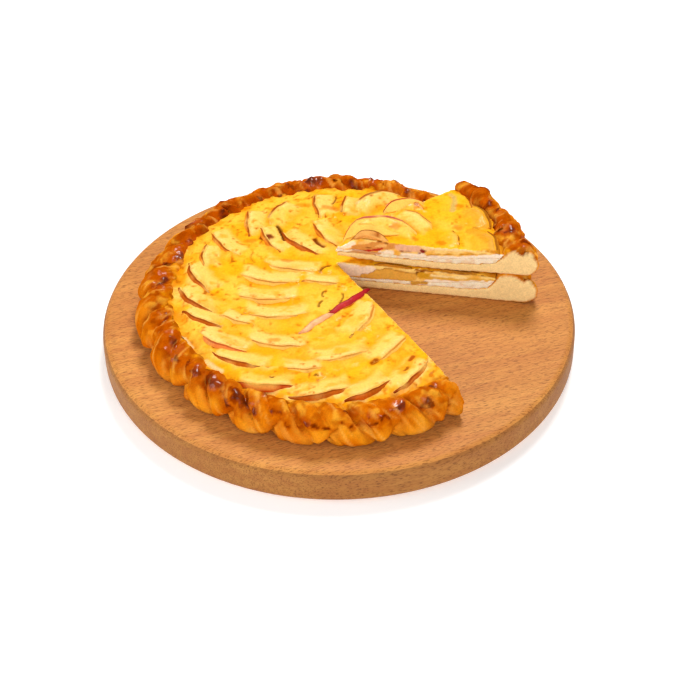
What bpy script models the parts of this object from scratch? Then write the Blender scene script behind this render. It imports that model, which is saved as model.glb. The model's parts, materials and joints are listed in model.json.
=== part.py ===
"""An open apple pie on a round beech board, a wedge taken out of it and one slice laid back on top.

The pie is a dough base with a pleated rim, a layer of fresh curd and a baked custard that holds
apple slices. The slice is the same pie again, kept to one sector and bent over what it lies on.
Lengths below are millimetres and angles degrees; the meshes are made in metres.
"""

import math
import random
from collections import namedtuple

import bmesh
import bpy
from mathutils import Vector, noise

MM = 0.001
GAP = 0.3  # what touching pieces keep between their meshes

# The board, its underside at height 0 and its centre at the origin.
BOARD_RADIUS = 160.0
BOARD_THICKNESS = 24.0
BOARD_EDGE_RADIUS = 5.5
BOARD_SIDES = 64

# The pie on the board. Heights in the pie are counted from its underside.
PIE_CENTRE = (-1.0, -1.0)
PIE_BASE = BOARD_THICKNESS + GAP
FLOOR_RADII = (97.0, 72.0, 45.0, 18.0)
DOUGH_THICKNESS = 6.2
DOUGH_RISE = (40.0, 100.0, 1.4)  # the radii between which the dough thickens, and by how much
CURD_THICKNESS = 1.8
CURD_THINNEST = 1.2
CURD_RISE = (45.0, 108.0, 4.0)
CUSTARD_TOP = 20.4
CUSTARD_RADII = (107.0, 94.0, 80.0, 66.0, 52.0, 38.0, 22.0)

# The unevenness of each layer: how far its waves are across, and how high they are.
DOUGH_WAVES = (34.0, 0.5)
CURD_WAVES = (27.0, 0.6)
CUSTARD_WAVES = (24.0, 0.8)
LIP_WAVES = (11.0, 1.8)

# The rim's outline from its foot, over the crest, to the shoulder inside: radius, height, share
# of the pleats' relief. The relief pushes away from the middle of this rope of dough.
RIM_PROFILE = (
    (129.0, 0.0, 0.8),
    (132.0, 2.0, 1.0),
    (133.6, 6.5, 1.0),
    (133.2, 12.5, 1.0),
    (130.0, 18.0, 1.0),
    (125.0, 21.3, 1.0),
    (119.4, 21.5, 0.8),
    (115.0, 20.0, 0.5),
)
RIM_CORE = (123.0, 9.0)
LIP = (112.8, 18.0)
WALL = ((111.4, 14.0), (107.6, 10.0))
RIM_OVAL = 1.6  # how much longer the pie is front to back than a circle, and narrower across
RIM_SQUARE = 1.6  # how far its four quarters bulge past an oval, and flatten between
LIP_OVAL = 4.2  # the same lengthening for the edge of the filling
LIP_BACK = 5.0  # how much thinner the rim is at the back
PLEAT_LEAN = 12.0  # how far a crease turns back, clockwise from above, from foot to shoulder
NOTCH_DEPTH = 4.4
CREASE_DEPTH = 1.8
PLEAT_SWELL = 1.5
PLEAT_SHAPE = ((0.2, 0.7), (0.5, 1.0), (0.8, 0.65))  # place across a pleat, share of its swell
FRONT_NOTCHES = (153.0, 176.0, 198.0, 218.0, 235.5, 250.0, 266.0, 282.0, 300.0)
BACK_NOTCHES = 11

# The wedge that is gone and the slice's sector share their point, behind the pie's centre.
CUT_POINT = (-1.5, 29.0)
NEAR_CUT = -60.2
FAR_CUT = -10.7
SLICE_END = 33.0
CUT_REACH = 220.0
CUT_HEIGHT = 96.0

# The slice's underside: it bends up at its point and, a little, at its rim.
SLICE_LOW = 46.4
SLICE_LOW_AT = 60.0
SLICE_POINT_LIFT = 3.9
SLICE_RIM_LIFT = 1.4
SLICE_BACK_LIFT = 2.2
SLICE_LENGTH = 137.0
SLICE_SEAT_MARGIN = 4.0  # how far beside the slice the pie under it is pressed down
SLICE_SEAT_POINT = 8.0  # and how far around its point
SLICE_FLATTENED = 0.88
SLICE_POINT_SHARE = 0.38  # how much of its height the slice keeps at its squashed point
SLICE_POINT_REACH = 20.0
UNDER_RADII = (112.0, 84.0, 56.0, 28.0)

# An apple slice: a half-moon with skin along its round edge, thicker there than at the core side.
APPLE_THICKNESS = 4.2
APPLE_CORE_THICKNESS = 1.6
APPLE_SKIN_BULGE = 0.7
APPLE_STATIONS = 6
APPLE_BED = 2.6  # custard under the lowest edge of a slice
APPLE_HEIGHT = 21.4

# An apple slice's place: the middle of its skin edge and which way that edge faces, its length,
# tilt and width from skin to core, the radius of its edge, how far it sits up, and its arch.
Spot = namedtuple("Spot", "x y facing length tilt width radius rise arch", defaults=(35.0, 0.0, 0.0))
PIE_APPLES = (
    # outer ring, from the back left round to the near cut
    Spot(-64, 76, 182, 32, 24, 12),
    Spot(-82, 49, 214, 38, 22, 13),
    Spot(-93, 38, 178, 26, 28, 9),
    Spot(-98, 12, 206, 38, 24, 12),
    Spot(-98, -15, 222, 42, 23, 14),
    Spot(-92, -34, 236, 32, 23, 11),
    Spot(-79, -60, 237, 48, 21, 14),
    Spot(-65, -79, 247, 46, 22, 11),
    Spot(-47, -102, 263, 48, 28, 10),
    Spot(-9, -110.5, 285, 48, 26, 12),
    Spot(21, -108, 302, 38, 26, 11),
    Spot(49, -94, 324, 40, 24, 12),
    # middle rows
    Spot(-27, 45, 228, 46, 20, 17),
    Spot(-50, 54, 205, 34, 21, 11),
    Spot(-34, 18, 254, 50, 20, 11),
    Spot(-49, 5, 254, 52, 19, 14),
    Spot(-48, -15, 265, 52, 18, 14),
    Spot(-41, -34, 268, 56, 18, 15),
    Spot(-68, -36, 243, 26, 20, 8),
    Spot(-42, -63, 258, 46, 18, 12),
    Spot(-24, -87, 270, 30, 23, 9),
    # centre and the near cut
    Spot(21, -35, 338, 42, 23, 13),
    Spot(4, -76, 288, 48, 19, 16),
    Spot(-12, 3, 262, 26, 20, 8),
    Spot(36, -68, 322, 38, 22, 13),
    Spot(-18.5, -41.5, 314, 21, 70, 7, radius=90),
    # back
    Spot(-16, 95, 184, 30, 24, 12),
    Spot(4, 95, 168, 24, 23, 10),
    Spot(25, 97, 118, 42, 21, 14),
    Spot(-13, 60, 208, 36, 19, 12),
    Spot(-44, 90, 150, 30, 22, 12),
    # along the far cut, under the slice
    Spot(38, 21, 259, 46, 64, 12),
    Spot(82, 13, 259, 44, 50, 10),
)
# The red slice stands on edge and leans out over the near cut, which leaves it whole.
RED_APPLE = Spot(7, -17, 314, 42, 66, 7, radius=90, rise=0.6)
SLICE_APPLES = (
    Spot(33, 53, 88, 50, 12, 17, radius=30, rise=2.2),
    Spot(46, 66, 112, 30, 24, 9, rise=1.5),
    Spot(65, 43.5, 32, 26, 20, 9),
    Spot(106, 47, 18, 26, 24, 10),
    Spot(107, 18, 8, 30, 24, 11),
    Spot(82, 26, 12, 30, 20, 10),
    Spot(22, 30, 79, 28, 28, 6, radius=30, rise=-1.0, arch=4.0),
    # one that shows only where the slice's near face cuts it
    Spot(59, 21.0, 349, 21, 7, 17, rise=-3.7),
)

COLOURS = {
    "beech": (0.73, 0.38, 0.13, 0.55),
    "baked_dough": (0.72, 0.30, 0.05, 0.35),
    "curd": (0.90, 0.82, 0.68, 0.6),
    "custard": (0.93, 0.60, 0.13, 0.35),
    "apple": (0.86, 0.55, 0.22, 0.35),
}


# --- helpers -------------------------------------------------------------------------------


def clear_scene():
    for old in list(bpy.data.objects):
        bpy.data.objects.remove(old, do_unlink=True)


def material(name):
    """A Principled material in one of the pie's or the board's colours."""
    found = bpy.data.materials.get(name)
    if found:
        return found
    made = bpy.data.materials.new(name)
    made.use_nodes = True
    shader = made.node_tree.nodes["Principled BSDF"]
    red, green, blue, roughness = COLOURS[name]
    shader.inputs["Base Color"].default_value = (red, green, blue, 1.0)
    shader.inputs["Roughness"].default_value = roughness
    shader.inputs["Metallic"].default_value = 0.0
    return made


def add_object(name, shape, finish, smooth_under=0.0):
    """Turns a finished bmesh into a named object, shaded smooth up to the given angle."""
    bmesh.ops.recalc_face_normals(shape, faces=shape.faces)
    mesh = bpy.data.meshes.new(name)
    shape.to_mesh(mesh)
    shape.free()
    mesh.materials.append(material(finish))
    if smooth_under:
        mesh.shade_smooth()
        mesh.set_sharp_from_angle(angle=math.radians(smooth_under))
    made = bpy.data.objects.new(name, mesh)
    bpy.context.scene.collection.objects.link(made)
    return made


def add_boolean(target, cutter, operation, solver="EXACT"):
    boolean = target.modifiers.new(operation.title(), "BOOLEAN")
    boolean.solver = solver
    boolean.operation = operation
    boolean.object = cutter


def hide_cutter(cutter):
    cutter.hide_render = True
    cutter.display_type = "WIRE"


def around(centre, radius, bearing):
    turn = math.radians(bearing)
    return centre[0] + radius * math.cos(turn), centre[1] + radius * math.sin(turn)


def blend(value, low, high):
    """Rises smoothly from 0 at low to 1 at high."""
    share = min(max((value - low) / (high - low), 0.0), 1.0)
    return share * share * (3.0 - 2.0 * share)


def waves(x, y, size_and_height, variant):
    """Gentle unevenness, with waves of the given size across and height either way."""
    size, height = size_and_height
    return height * 2.0 * noise.noise(Vector((x / size, y / size, 3.7 * variant)))


def from_cut_point(x, y):
    """Distance and bearing from the point of the slice."""
    dx, dy = x - CUT_POINT[0], y - CUT_POINT[1]
    return math.hypot(dx, dy), math.degrees(math.atan2(dy, dx))


# --- where the pie and the slice lie --------------------------------------------------------


def slice_underside(x, y):
    reach, bearing = from_cut_point(x, y)
    inner = max(0.0, 1.0 - reach / SLICE_LOW_AT)
    outer = max(0.0, (reach - SLICE_LOW_AT) / (SLICE_LENGTH - SLICE_LOW_AT))
    back = blend(bearing, 0.0, SLICE_END) * min(reach / SLICE_LENGTH, 1.0)
    bend = SLICE_POINT_LIFT * inner**1.6 + SLICE_RIM_LIFT * outer**1.5
    return SLICE_LOW + bend + SLICE_BACK_LIFT * back


def on_board(x, y, height):
    """A point of the whole pie: flat on the board, and pressed down where the slice lies on it."""
    z = PIE_BASE + height
    reach, bearing = from_cut_point(x, y)
    beside = max(FAR_CUT - bearing, bearing - SLICE_END)
    if beside < SLICE_SEAT_MARGIN or reach < SLICE_SEAT_POINT:
        z = min(z, slice_underside(x, y) - 2.0 * GAP)
    return Vector((x, y, z)) * MM


def on_pie(x, y, height):
    """A point of the slice, which lies on the pie, a little flatter and squashed at its point."""
    full = blend(from_cut_point(x, y)[0], 0.0, SLICE_POINT_REACH)
    height *= SLICE_FLATTENED * (SLICE_POINT_SHARE + (1.0 - SLICE_POINT_SHARE) * full)
    return Vector((x, y, slice_underside(x, y) + height)) * MM


# What is baked: where it lies, the seed of its unevenness and how much wider its filling is.
Baking = namedtuple("Baking", "prefix place seed wider")
PIE = Baking("pie", on_board, 3, 0.0)
SLICE = Baking("slice", on_pie, 8, 4.0)


# --- layers --------------------------------------------------------------------------------


def thickening(x, y, rise):
    """What a layer gains towards the pie's edge."""
    low, high, gain = rise
    return gain * blend(math.hypot(x - PIE_CENTRE[0], y - PIE_CENTRE[1]), low, high)


def dough_height(x, y, seed):
    return DOUGH_THICKNESS + thickening(x, y, DOUGH_RISE) + waves(x, y, DOUGH_WAVES, seed)


def curd_height(x, y, seed):
    thickness = CURD_THICKNESS + thickening(x, y, CURD_RISE) + waves(x, y, CURD_WAVES, seed + 1)
    return dough_height(x, y, seed) + GAP + max(thickness, CURD_THINNEST)


def custard_height(x, y, seed):
    return CUSTARD_TOP + waves(x, y, CUSTARD_WAVES, seed + 2)


def rim_columns(seed):
    """Bearing, relief and crest lift of each column round the rim, four columns to a pleat."""
    draw = random.Random(seed)
    first, last = FRONT_NOTCHES[0] + 360.0, FRONT_NOTCHES[-1]
    step = (first - last) / (BACK_NOTCHES + 1)
    back = [last + step * (k + 1 + draw.uniform(-0.15, 0.15)) for k in range(BACK_NOTCHES)]
    notches = [*FRONT_NOTCHES, *back, first]
    columns = []
    for start, end in zip(notches, notches[1:]):
        middle = start + (end - start) * draw.uniform(0.42, 0.58)
        for a, b, depth in ((start, middle, NOTCH_DEPTH), (middle, end, CREASE_DEPTH)):
            swell = PLEAT_SWELL * draw.uniform(0.6, 1.3)
            lift = draw.uniform(-0.6, 0.8)
            columns.append((a, -depth, 0.0))
            columns += [(a + at * (b - a), swell * share, lift) for at, share in PLEAT_SHAPE]
    return columns


def oval(baking, radius, bearing):
    """How far the pie's outline, or the filling's, leaves a circle at this bearing."""
    turn = math.radians(bearing)
    outline = RIM_SQUARE * math.cos(4.0 * turn) - RIM_OVAL * math.cos(2.0 * turn)
    filling = LIP_BACK * blend(math.sin(turn), 0.1, 0.5) - LIP_OVAL * math.cos(2.0 * turn)
    inside = blend(-radius, -RIM_CORE[0], -LIP[0])
    outline += (filling + baking.wider - outline) * inside
    return outline * blend(radius, 60.0, LIP[0])


def rim_point(baking, column, step):
    """A point of the pleated rim, as x, y and height above the pie's underside."""
    bearing, relief, lift = column
    bearing -= PLEAT_LEAN * step / (len(RIM_PROFILE) - 1)
    radius, height, share = RIM_PROFILE[step]
    outward = Vector((radius - RIM_CORE[0], height - RIM_CORE[1])).normalized()
    reach = radius + outward.x * relief * share + oval(baking, radius, bearing)
    height += max(outward.y, 0.0) * (relief + lift) * share
    return *around(PIE_CENTRE, reach, bearing), height


def add_ring(shape, points):
    return [shape.verts.new(point) for point in points]


def bridge(shape, first, second):
    """Quads between two rings of the same count, or a fan where the first has four times as many."""
    ratio = len(first) // len(second)
    count = len(second)
    for k in range(count):
        left, right = second[k], second[(k + 1) % count]
        fine = [first[(ratio * k + i) % len(first)] for i in range(ratio + 1)]
        if ratio == 1:
            shape.faces.new((fine[0], fine[1], right, left))
            continue
        half = ratio // 2
        for i in range(ratio):
            shape.faces.new((fine[i], fine[i + 1], left if i < half else right))
        shape.faces.new((fine[half], right, left))


def close_to_centre(shape, ring, centre):
    pole = shape.verts.new(centre)
    for k, vertex in enumerate(ring):
        shape.faces.new((vertex, ring[(k + 1) % len(ring)], pole))


def coarse_bearings(seed):
    """The bearings that the layers share, one to a pleat, at its crease on the rim's shoulder."""
    return [column[0] - PLEAT_LEAN for column in rim_columns(seed)[::4]]


def ring_points(baking, radius, height_at):
    """A ring at one radius, with its height a number or a function of x and y."""
    points = []
    for bearing in coarse_bearings(baking.seed):
        x, y = around(PIE_CENTRE, radius + oval(baking, radius, bearing), bearing)
        height = height_at(x, y, baking.seed) if callable(height_at) else height_at
        points.append(baking.place(x, y, height))
    return points


def lip_points(baking, inset, height):
    """The ragged line where the filling meets the rim."""
    points = []
    for bearing in coarse_bearings(baking.seed):
        x, y = around((0.0, 0.0), 30.0, bearing)
        ragged = waves(x, y, LIP_WAVES, baking.seed + 5)
        radius = LIP[0] + oval(baking, LIP[0], bearing) + ragged - inset
        points.append(baking.place(*around(PIE_CENTRE, radius, bearing), height))
    return points


def raised(height_at, rise):
    return lambda x, y, seed: height_at(x, y, seed) + rise


def floor_rings(baking, height_at):
    """Rings from the foot of the wall inwards, and the point at the middle."""
    middle = baking.place(*PIE_CENTRE, height_at(*PIE_CENTRE, baking.seed))
    return [*(ring_points(baking, radius, height_at) for radius in FLOOR_RADII), middle]


def add_cap(shape, first, rings):
    """Faces from a ring of corners over rings of points to the point that closes them."""
    for points in rings[:-1]:
        ring = add_ring(shape, points)
        bridge(shape, first, ring)
        first = ring
    close_to_centre(shape, first, rings[-1])


def make_crust(baking, hollow_under):
    """The dough: an underside, the pleated rim, the lip and the wall inside it, and the floor."""
    columns = rim_columns(baking.seed)
    shape = bmesh.new()
    rings = [
        add_ring(shape, [baking.place(*rim_point(baking, column, step)) for column in columns])
        for step in range(len(RIM_PROFILE))
    ]
    for first, second in zip(rings, rings[1:]):
        bridge(shape, first, second)
    wall = [ring_points(baking, radius, height) for radius, height in WALL]
    inside = [lip_points(baking, 0.0, LIP[1]), *wall, *floor_rings(baking, dough_height)]
    add_cap(shape, rings[-1], inside)
    if hollow_under:
        under = [ring_points(baking, radius, 0.0) for radius in UNDER_RADII]
        add_cap(shape, rings[0], [*under, baking.place(*PIE_CENTRE, 0.0)])
    else:
        shape.faces.new(rings[0])
    return add_object(f"{baking.prefix}_crust", shape, "baked_dough", smooth_under=50.0)


def make_curd(baking):
    """The curd fills the bottom of the dish and climbs its wall."""
    (high, high_at), (low, low_at) = WALL
    foot = ring_points(baking, low - GAP, low_at + GAP)
    brow = ring_points(baking, low - GAP, raised(curd_height, 2 * GAP))
    shape = bmesh.new()
    side = add_ring(shape, ring_points(baking, high - 2 * GAP, high_at))
    add_cap(shape, side, [foot, *floor_rings(baking, raised(dough_height, GAP))])
    add_cap(shape, side, [brow, *floor_rings(baking, curd_height)])
    return add_object(f"{baking.prefix}_curd", shape, "curd")


def make_custard(baking):
    """The custard lies on the curd up to the rim's lip, with an uneven top."""
    (high, high_at), (low, _) = WALL
    side = ring_points(baking, high - 2 * GAP, high_at + 2 * GAP)
    brow = ring_points(baking, low - GAP, raised(curd_height, 3 * GAP))
    top = [ring_points(baking, radius, custard_height) for radius in CUSTARD_RADII]
    middle = baking.place(*PIE_CENTRE, custard_height(*PIE_CENTRE, baking.seed))
    shape = bmesh.new()
    edge = add_ring(shape, lip_points(baking, GAP, LIP[1] + 2 * GAP))
    add_cap(shape, edge, [side, brow, *floor_rings(baking, raised(curd_height, GAP))])
    add_cap(shape, edge, [*top, middle])
    return add_object(f"{baking.prefix}_custard", shape, "custard")


# --- apple slices --------------------------------------------------------------------------


def add_apple(shape, baking, spot, grow=0.0):
    """One half-moon of apple, laid with its skin edge up; grow makes the pocket that it lies in."""
    facing, tilt = math.radians(spot.facing), math.radians(spot.tilt)
    half, middle = spot.length / 2.0, APPLE_HEIGHT + spot.rise
    depth = middle - APPLE_BED - curd_height(spot.x, spot.y, baking.seed)
    width = min(spot.width, depth / math.sin(tilt))
    rings = []
    for station in range(APPLE_STATIONS + 1):
        share = -math.cos(math.pi * station / APPLE_STATIONS)
        along = share * (half + grow)
        fullness = 0.3 + 0.7 * math.sqrt(max(1.0 - share * share, 0.0))
        skin = math.sqrt(spot.radius**2 - min(abs(along), half) ** 2) - spot.radius
        core = min(-width * (0.55 + 0.45 * fullness), skin - 1.5)
        thick = APPLE_THICKNESS * fullness / 2.0 + grow
        thin = APPLE_CORE_THICKNESS * fullness / 2.0 + grow
        section = (
            (skin + grow, thick),
            (skin + APPLE_SKIN_BULGE + grow, 0.0),
            (skin + grow, -thick),
            (core - grow, -thin),
            (core - grow, thin),
        )
        ring = []
        for across, up in section:
            outward = across * math.cos(tilt) - up * math.sin(tilt)
            height = middle + across * math.sin(tilt) + up * math.cos(tilt)
            height += spot.arch * (1.0 - share * share)
            x = spot.x + outward * math.cos(facing) - along * math.sin(facing)
            y = spot.y + outward * math.sin(facing) + along * math.cos(facing)
            ring.append(shape.verts.new(baking.place(x, y, height)))
        rings.append(ring)
    for first, second in zip(rings, rings[1:]):
        bridge(shape, first, second)
    shape.faces.new(rings[0])
    shape.faces.new(rings[-1])


def make_apple(name, baking, spot, custard):
    """An apple slice, and the pocket that it needs cut from the custard."""
    shape = bmesh.new()
    add_apple(shape, baking, spot)
    apple = add_object(name, shape, "apple")
    hollow = bmesh.new()
    add_apple(hollow, baking, spot, GAP)
    pocket = add_object(f"{name}_pocket", hollow, "apple")
    hide_cutter(pocket)
    add_boolean(custard, pocket, "DIFFERENCE", "MANIFOLD")
    return apple


# --- the whole -----------------------------------------------------------------------------


def make_sector(name, start, end):
    """A tall wedge from the cut point, between two bearings: the pie's missing part, or the slice."""
    shape = bmesh.new()
    outline = [CUT_POINT] + [
        around(CUT_POINT, CUT_REACH, start + (end - start) * k / 4) for k in range(5)
    ]
    bottom = [shape.verts.new(Vector((x, y, 0.0)) * MM) for x, y in outline]
    top = [shape.verts.new(Vector((x, y, CUT_HEIGHT)) * MM) for x, y in outline]
    bridge(shape, bottom, top)
    shape.faces.new(bottom)
    shape.faces.new(top)
    sector = add_object(name, shape, "custard")
    hide_cutter(sector)
    return sector


def make_board():
    shape = bmesh.new()
    bmesh.ops.create_cone(
        shape,
        cap_ends=True,
        segments=BOARD_SIDES,
        radius1=BOARD_RADIUS * MM,
        radius2=BOARD_RADIUS * MM,
        depth=BOARD_THICKNESS * MM,
    )
    bmesh.ops.translate(shape, verts=shape.verts, vec=(0.0, 0.0, BOARD_THICKNESS * MM / 2))
    board = add_object("board", shape, "beech", smooth_under=50.0)
    bevel = board.modifiers.new("Rounded edge", "BEVEL")
    bevel.width = BOARD_EDGE_RADIUS * MM
    bevel.segments = 2
    bevel.limit_method = "ANGLE"


def make_pie():
    gone = make_sector("missing_wedge", NEAR_CUT, FAR_CUT)
    custard = make_custard(PIE)
    pieces = [make_crust(PIE, hollow_under=False), make_curd(PIE)]
    for number, spot in enumerate(PIE_APPLES, 1):
        pieces.append(make_apple(f"apple_{number:02d}", PIE, spot, custard))
    make_apple("apple_red", PIE, RED_APPLE, custard)
    for piece in (custard, *pieces):
        add_boolean(piece, gone, "DIFFERENCE")


def make_slice():
    kept = make_sector("slice_sector", FAR_CUT, SLICE_END)
    custard = make_custard(SLICE)
    pieces = [make_crust(SLICE, hollow_under=True), make_curd(SLICE)]
    for number, spot in enumerate(SLICE_APPLES, 1):
        pieces.append(make_apple(f"slice_apple_{number}", SLICE, spot, custard))
    for piece in (custard, *pieces):
        add_boolean(piece, kept, "INTERSECT")


clear_scene()
make_board()
make_pie()
make_slice()
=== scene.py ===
# %% [markdown]
# An open apple pie on a round wooden board, with a wedge taken out and one slice lying on top.
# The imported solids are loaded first: they fix the place and the size of every piece.
# Lengths below are in millimetres and angles in degrees, and MM turns them into metres.

import json
import random
from collections import namedtuple
from contextlib import contextmanager
from functools import partial
from math import cos, hypot, pi, radians, sin

import bpy
import numpy as np
from mathutils import Matrix, Vector
from mathutils.kdtree import KDTree

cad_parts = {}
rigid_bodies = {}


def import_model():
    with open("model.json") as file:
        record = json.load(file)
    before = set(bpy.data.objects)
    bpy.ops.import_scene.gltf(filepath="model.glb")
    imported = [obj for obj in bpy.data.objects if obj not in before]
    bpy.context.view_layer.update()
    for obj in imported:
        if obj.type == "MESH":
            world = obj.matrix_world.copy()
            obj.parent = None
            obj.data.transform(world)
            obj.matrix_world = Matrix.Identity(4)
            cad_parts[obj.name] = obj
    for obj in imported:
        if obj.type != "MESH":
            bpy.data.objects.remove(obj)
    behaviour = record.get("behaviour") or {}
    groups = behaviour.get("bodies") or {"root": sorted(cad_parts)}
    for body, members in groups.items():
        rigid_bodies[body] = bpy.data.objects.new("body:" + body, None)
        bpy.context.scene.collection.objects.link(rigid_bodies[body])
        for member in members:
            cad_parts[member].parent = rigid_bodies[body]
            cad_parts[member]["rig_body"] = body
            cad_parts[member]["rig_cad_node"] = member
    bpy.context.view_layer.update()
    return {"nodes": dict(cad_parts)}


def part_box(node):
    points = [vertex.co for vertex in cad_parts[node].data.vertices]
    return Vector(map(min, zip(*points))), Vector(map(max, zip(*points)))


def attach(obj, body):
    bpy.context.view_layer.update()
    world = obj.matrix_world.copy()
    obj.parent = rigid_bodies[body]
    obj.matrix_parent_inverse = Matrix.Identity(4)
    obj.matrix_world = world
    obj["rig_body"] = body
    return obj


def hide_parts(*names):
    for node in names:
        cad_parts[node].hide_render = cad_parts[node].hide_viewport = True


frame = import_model()
MM = 0.001
print(len(frame["nodes"]), "solids loaded")

# %% [markdown]
# Small helpers come next. A piece's points are one table in millimetres, and smooth random
# noise gives uneven things such as dough and custard their lumps.


# %% Points and noise
def table_of(vertices, name):
    flat = np.empty(len(vertices) * 3, np.float32)
    vertices.foreach_get(name, flat)
    return flat.reshape(-1, 3).astype(float)


def points_of(piece):
    return table_of(piece.data.vertices, "co") / MM


def move_points(piece, points):
    piece.data.vertices.foreach_set("co", (points * MM).astype(np.float32).ravel())
    piece.data.update()


def blend(value, low, high):
    """Rises smoothly from 0 at low to 1 at high."""
    share = np.clip((value - low) / (high - low), 0, 1)
    return share * share * (3 - 2 * share)


def lumps(points, size, seed):
    """Smooth random lumps from -1 to 1, the given size across."""
    at = np.asarray(points) / size + 31.7 * seed
    cell = np.floor(at).astype(np.int64)
    part = at - cell
    part = part * part * (3 - 2 * part)
    total = np.zeros(len(at))
    for corner in np.ndindex(2, 2, 2):
        key = (cell + corner) @ np.array([73856093, 19349663, 83492791])
        key = (key ^ (key >> 13)) * 1274126177
        height = ((key ^ (key >> 16)) & 0xFFFF) / 32767.5 - 1
        total += height * np.where(corner, part, 1 - part).prod(axis=1)
    return total


def tone(red, green, blue):
    """A colour given as on a screen, turned into light."""
    share = np.array([red, green, blue]) / 255
    return np.where(share < 0.04045, share / 12.92, ((share + 0.055) / 1.055) ** 2.4)


def mixed(first, second, share):
    share = np.clip(share, 0, 1)[:, None]
    return first * (1 - share) + second * share


def layered(tints, *layers):
    """Lays colours over one another, each with its share at every point."""
    for colour, share in layers:
        tints = mixed(tints, tone(*colour), share)
    return tints


def paint(piece, name, values):
    """Stores one number or one colour for each point, for the material to read."""
    values, kind, field = np.asarray(values, float), "FLOAT", "value"
    if values.ndim == 2:
        values = np.column_stack([values, np.ones(len(values))])
        kind, field = "FLOAT_COLOR", "color"
    layer = piece.data.attributes.new(name, kind, "POINT")
    layer.data.foreach_set(field, values.astype(np.float32).ravel())


# %% [markdown]
# Each solid is coarse. Its copy is merged into one skin, given small even faces, and
# smoothed, which gives dough its rounded edges.


# %% Copies and modifiers
def select_only(*pieces):
    bpy.ops.object.select_all(action="DESELECT")
    for piece in pieces:
        piece.select_set(True)
    bpy.context.view_layer.objects.active = pieces[0]


@contextmanager
def editing():
    """Edits the active piece with all of its faces selected."""
    bpy.ops.object.mode_set(mode="EDIT")
    bpy.ops.mesh.select_all(action="SELECT")
    yield
    bpy.ops.object.mode_set(mode="OBJECT")


def copy_of(name, *nodes):
    select_only(*(frame["nodes"][node] for node in nodes))
    bpy.ops.object.duplicate()
    if len(nodes) > 1:
        bpy.ops.object.join()
    piece = bpy.context.object
    piece.name = piece.data.name = name
    piece.parent = None
    del piece["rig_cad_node"], piece["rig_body"]
    piece.data.materials.clear()
    if piece.data.has_custom_normals:
        bpy.ops.mesh.customdata_custom_splitnormals_clear()
    with editing():
        bpy.ops.mesh.remove_doubles(threshold=0.00001)
        bpy.ops.mesh.normals_make_consistent(inside=False)
    return piece


def apply_modifier(piece, kind, **settings):
    select_only(piece)
    modifier = piece.modifiers.new(kind.title(), kind)
    for name, value in settings.items():
        setattr(modifier, name, value)
    bpy.ops.object.modifier_apply(modifier=modifier.name)


def remeshed(name, nodes, face, swell=0, rounds=0):
    """A copy of the solids in small even faces, with its points and their directions."""
    piece = copy_of(name, *nodes)
    if swell:
        apply_modifier(piece, "DISPLACE", strength=swell * MM, mid_level=0)
    apply_modifier(piece, "REMESH", mode="VOXEL", voxel_size=face * MM)
    if rounds:
        apply_modifier(piece, "SMOOTH", factor=0.5, iterations=rounds)
    return piece, points_of(piece), table_of(piece.data.vertex_normals, "vector")


def show(piece, material, slot, *nodes):
    """The finished piece gets its material and stands for its solids."""
    piece.data.materials.append(material)
    piece.data.shade_smooth()
    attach(piece, "root")
    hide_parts(*nodes)
    print(piece.name, len(piece.data.polygons), "faces")


# %% [markdown]
# All the food shares one kind of material. Its colour is stored on the points, a fine noise
# breaks it up, a little light passes under the surface, and moist or burnt spots shine.


# %% Food material
def set_sockets(node, values):
    for socket, value in values.items():
        node.inputs[socket].default_value = value
    return node


def new_material(name):
    made = bpy.data.materials.new(name)
    made.use_nodes = True
    nodes = made.node_tree.nodes
    return made, lambda kind: nodes.new(f"ShaderNode{kind}"), nodes["Principled BSDF"]


def wire(made, *joins):
    """Each join names a node, its output, the next node and that one's input."""
    for source, output, target, socket in joins:
        made.node_tree.links.new(source.outputs[output], target.inputs[socket])


def food_material(name, grain, bump, dull, through, depth, shine):
    """Sizes in mm: the noise's grain, its bump, and the depth that light passes through."""
    made, add, shader = new_material(name)
    place = add("TexCoord")
    colour, gloss = add("Attribute"), add("Attribute")
    colour.attribute_name, gloss.attribute_name = "tint", "gloss"
    speckle, rough = add("TexNoise"), add("TexNoise")
    set_sockets(speckle, {"Scale": 1 / (grain * MM)})
    set_sockets(rough, {"Scale": 1.6 / (grain * MM), "Detail": 4})
    spread, sheen, wet = (add("MapRange") for _ in range(3))
    set_sockets(spread, {"From Min": 0.3, "From Max": 0.7, "To Min": 0.9, "To Max": 1.08})
    set_sockets(sheen, {"To Min": dull, "To Max": shine})
    set_sockets(wet, {"From Min": 0.5, "To Max": 0.7})
    times = add("VectorMath")
    times.operation = "SCALE"
    relief = set_sockets(add("Bump"), {"Strength": 1, "Distance": bump * MM})
    wire(
        made,
        (place, "Object", speckle, "Vector"),
        (place, "Object", rough, "Vector"),
        (speckle, "Fac", spread, "Value"),
        (colour, "Color", times, 0),
        (spread, "Result", times, "Scale"),
        (times, 0, shader, "Base Color"),
        (gloss, "Fac", sheen, "Value"),
        (sheen, "Result", shader, "Roughness"),
        (rough, "Fac", relief, "Height"),
        (relief, "Normal", shader, "Normal"),
        (gloss, "Fac", wet, "Value"),
        (wet, "Result", shader, "Coat Weight"),
    )
    set_sockets(shader, {"Specular IOR Level": 0, "Coat Roughness": 0.2})
    set_sockets(shader, {"Subsurface Weight": through, "Subsurface Scale": depth * MM})
    set_sockets(shader, {"Subsurface Radius": (1, 0.7, 0.35)})
    return made


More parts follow.
